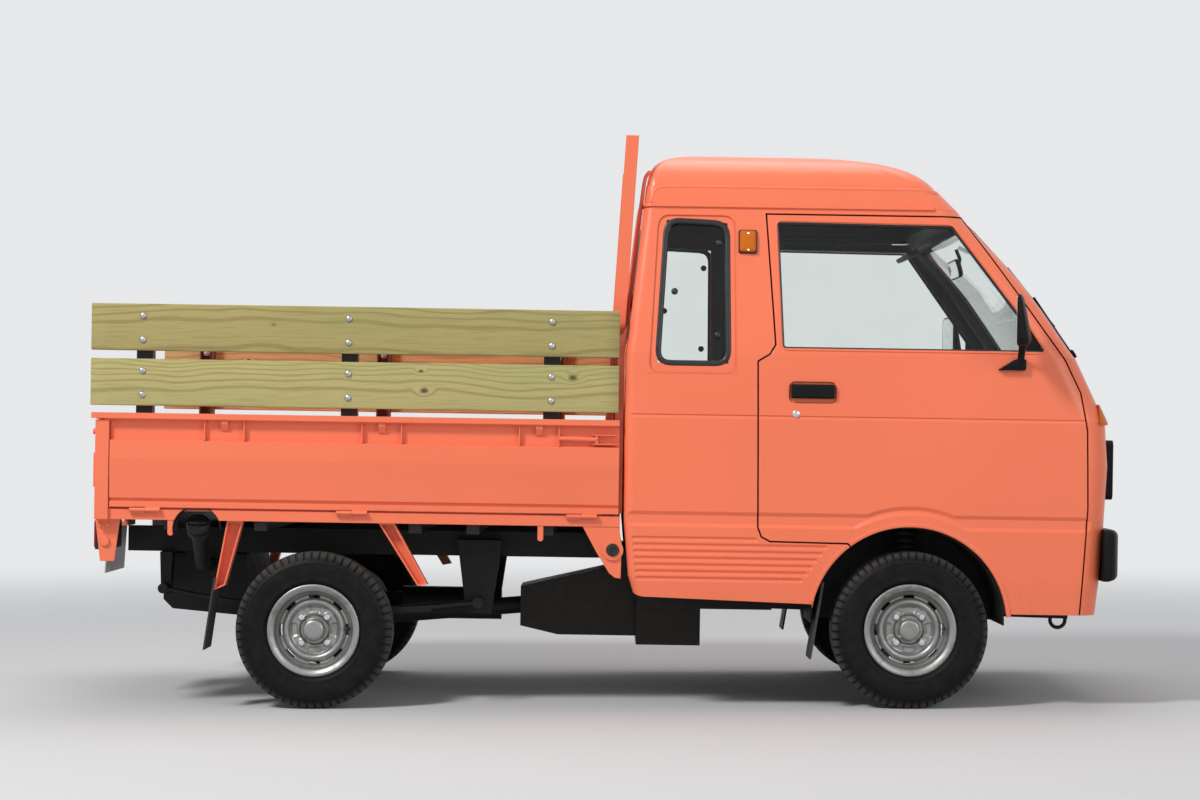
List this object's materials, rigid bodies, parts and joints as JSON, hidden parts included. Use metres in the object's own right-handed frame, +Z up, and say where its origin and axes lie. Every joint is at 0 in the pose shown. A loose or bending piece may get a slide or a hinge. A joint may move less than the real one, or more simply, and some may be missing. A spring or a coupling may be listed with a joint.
{
  "type": "kei truck",
  "caption": "Small cab-over drop-side truck with raised cab roof, opening doors, side gates with timber boards, tailgate, steered front wheels and a guard frame",
  "frame": {"origin": "on the floor under the middle of the truck's length and width", "axes": "+X to the truck's front, +Y to its left, +Z up"},
  "size_m": [3.2144, 1.71, 1.7829],
  "materials": {
    "coral_paint": "glossy repaint, light orange peel",
    "chassis_black": "satin underbody black",
    "wheel_silver": "silver wheel paint",
    "tyre_rubber": "worn tread",
    "black_rubber": "matt",
    "black_plastic": "grained",
    "grey_plastic": "grained",
    "seat_fabric": "woven vinyl and cloth",
    "window_glass": "clear with a faint tint",
    "lamp_glass": "fluted clear lens",
    "amber_lens": "amber lens",
    "red_lens": "red lens",
    "pine": "pressure-treated, greenish",
    "stake_paint": "dark oxide paint",
    "cast_metal": "oily casting"
  },
  "bodies": {
    "chassis": {"cab_floor": "chassis_black", "back_panel": "coral_paint", "quarter_panel_right": "coral_paint", "quarter_panel_left": "coral_paint", "nose_panel": "coral_paint", "windscreen_frame": "coral_paint", "roof": "coral_paint", "cab_glass": "window_glass", "wheel_wells": "chassis_black", "seats": "seat_fabric", "dashboard": "grey_plastic", "steering_wheel": "black_plastic", "front_bumper": "black_plastic", "grille": "black_plastic", "headlamps": "lamp_glass", "corner_lamps": "amber_lens", "wipers": "black_plastic", "ladder_frame": "chassis_black", "engine_and_gearbox": "cast_metal", "exhaust": "cast_metal", "fuel_tank": "chassis_black", "front_suspension": "chassis_black", "leaf_springs": "chassis_black", "bed_floor": "coral_paint", "headboard": "coral_paint", "rear_lamps": "red_lens", "plate_carrier": "coral_paint", "mudguard_stays": "coral_paint", "mud_flaps": "black_rubber", "rear_axle": "cast_metal"},
    "tailgate": {"tailgate": "coral_paint"},
    "door_right": {"door_right": "coral_paint", "door_glass_right": "window_glass", "door_mirror_right": "black_plastic", "door_handle_right": "black_plastic"},
    "gate_right": {"gate_right": "coral_paint", "boards_right": "pine", "stakes_right": "stake_paint"},
    "knuckle_right": {"knuckle_right": "cast_metal"},
    "wheel_front_right": {"tyre_front_right": "tyre_rubber", "rim_front_right": "wheel_silver"},
    "wheel_rear_right": {"tyre_rear_right": "tyre_rubber", "rim_rear_right": "wheel_silver"},
    "door_left": {"door_left": "coral_paint", "door_glass_left": "window_glass", "door_mirror_left": "black_plastic", "door_handle_left": "black_plastic"},
    "gate_left": {"gate_left": "coral_paint", "boards_left": "pine", "stakes_left": "stake_paint"},
    "knuckle_left": {"knuckle_left": "cast_metal"},
    "wheel_front_left": {"tyre_front_left": "tyre_rubber", "rim_front_left": "wheel_silver"},
    "wheel_rear_left": {"tyre_rear_left": "tyre_rubber", "rim_rear_left": "wheel_silver"}
  },
  "joints": [
    {"name": "door_right_hinge", "type": "hinge", "parent": "chassis", "child": "door_right", "pos_m": [1.4759, -0.694, 0.64175], "axis": [0.0157, 0, 0.9999], "range_deg": [0, 65]},
    {"name": "gate_right_hinge", "type": "hinge", "parent": "chassis", "child": "gate_right", "pos_m": [-0.7469, -0.691, 0.60866], "axis": [0.9999, 0, -0.0157], "range_deg": [0, 140]},
    {"name": "steer_right", "type": "hinge", "parent": "chassis", "child": "knuckle_right", "pos_m": [0.94634, -0.52, 0.16501], "axis": [0.0155, 0.1544, 0.9879], "range_deg": [-32, 32]},
    {"name": "wheel_front_right_spin", "type": "hinge", "parent": "knuckle_right", "child": "wheel_front_right", "pos_m": [0.94758, -0.6, 0.244], "axis": [0, 1, 0], "continuous": true},
    {"name": "wheel_rear_right_spin", "type": "hinge", "parent": "chassis", "child": "wheel_rear_right", "pos_m": [-0.90242, -0.6, 0.244], "axis": [0, 1, 0], "continuous": true},
    {"name": "door_left_hinge", "type": "hinge", "parent": "chassis", "child": "door_left", "pos_m": [1.4759, 0.694, 0.64175], "axis": [-0.0157, 0, -0.9999], "range_deg": [0, 65]},
    {"name": "gate_left_hinge", "type": "hinge", "parent": "chassis", "child": "gate_left", "pos_m": [-0.7469, 0.691, 0.60866], "axis": [-0.9999, 0, 0.0157], "range_deg": [0, 140]},
    {"name": "steer_left", "type": "hinge", "parent": "chassis", "child": "knuckle_left", "pos_m": [0.94634, 0.52, 0.16501], "axis": [0.0155, -0.1544, 0.9879], "range_deg": [-32, 32]},
    {"name": "wheel_front_left_spin", "type": "hinge", "parent": "knuckle_left", "child": "wheel_front_left", "pos_m": [0.94758, 0.6, 0.244], "axis": [0, 1, 0], "continuous": true},
    {"name": "wheel_rear_left_spin", "type": "hinge", "parent": "chassis", "child": "wheel_rear_left", "pos_m": [-0.90242, 0.6, 0.244], "axis": [0, 1, 0], "continuous": true},
    {"name": "tailgate_hinge", "type": "hinge", "parent": "chassis", "child": "tailgate", "pos_m": [-1.5808, 0, 0.62176], "axis": [0, -1, 0], "range_deg": [0, 90]}
  ],
  "couplings": [
    {"joint": "steer_left", "follows": "steer_right", "ratio": 1}
  ]
}
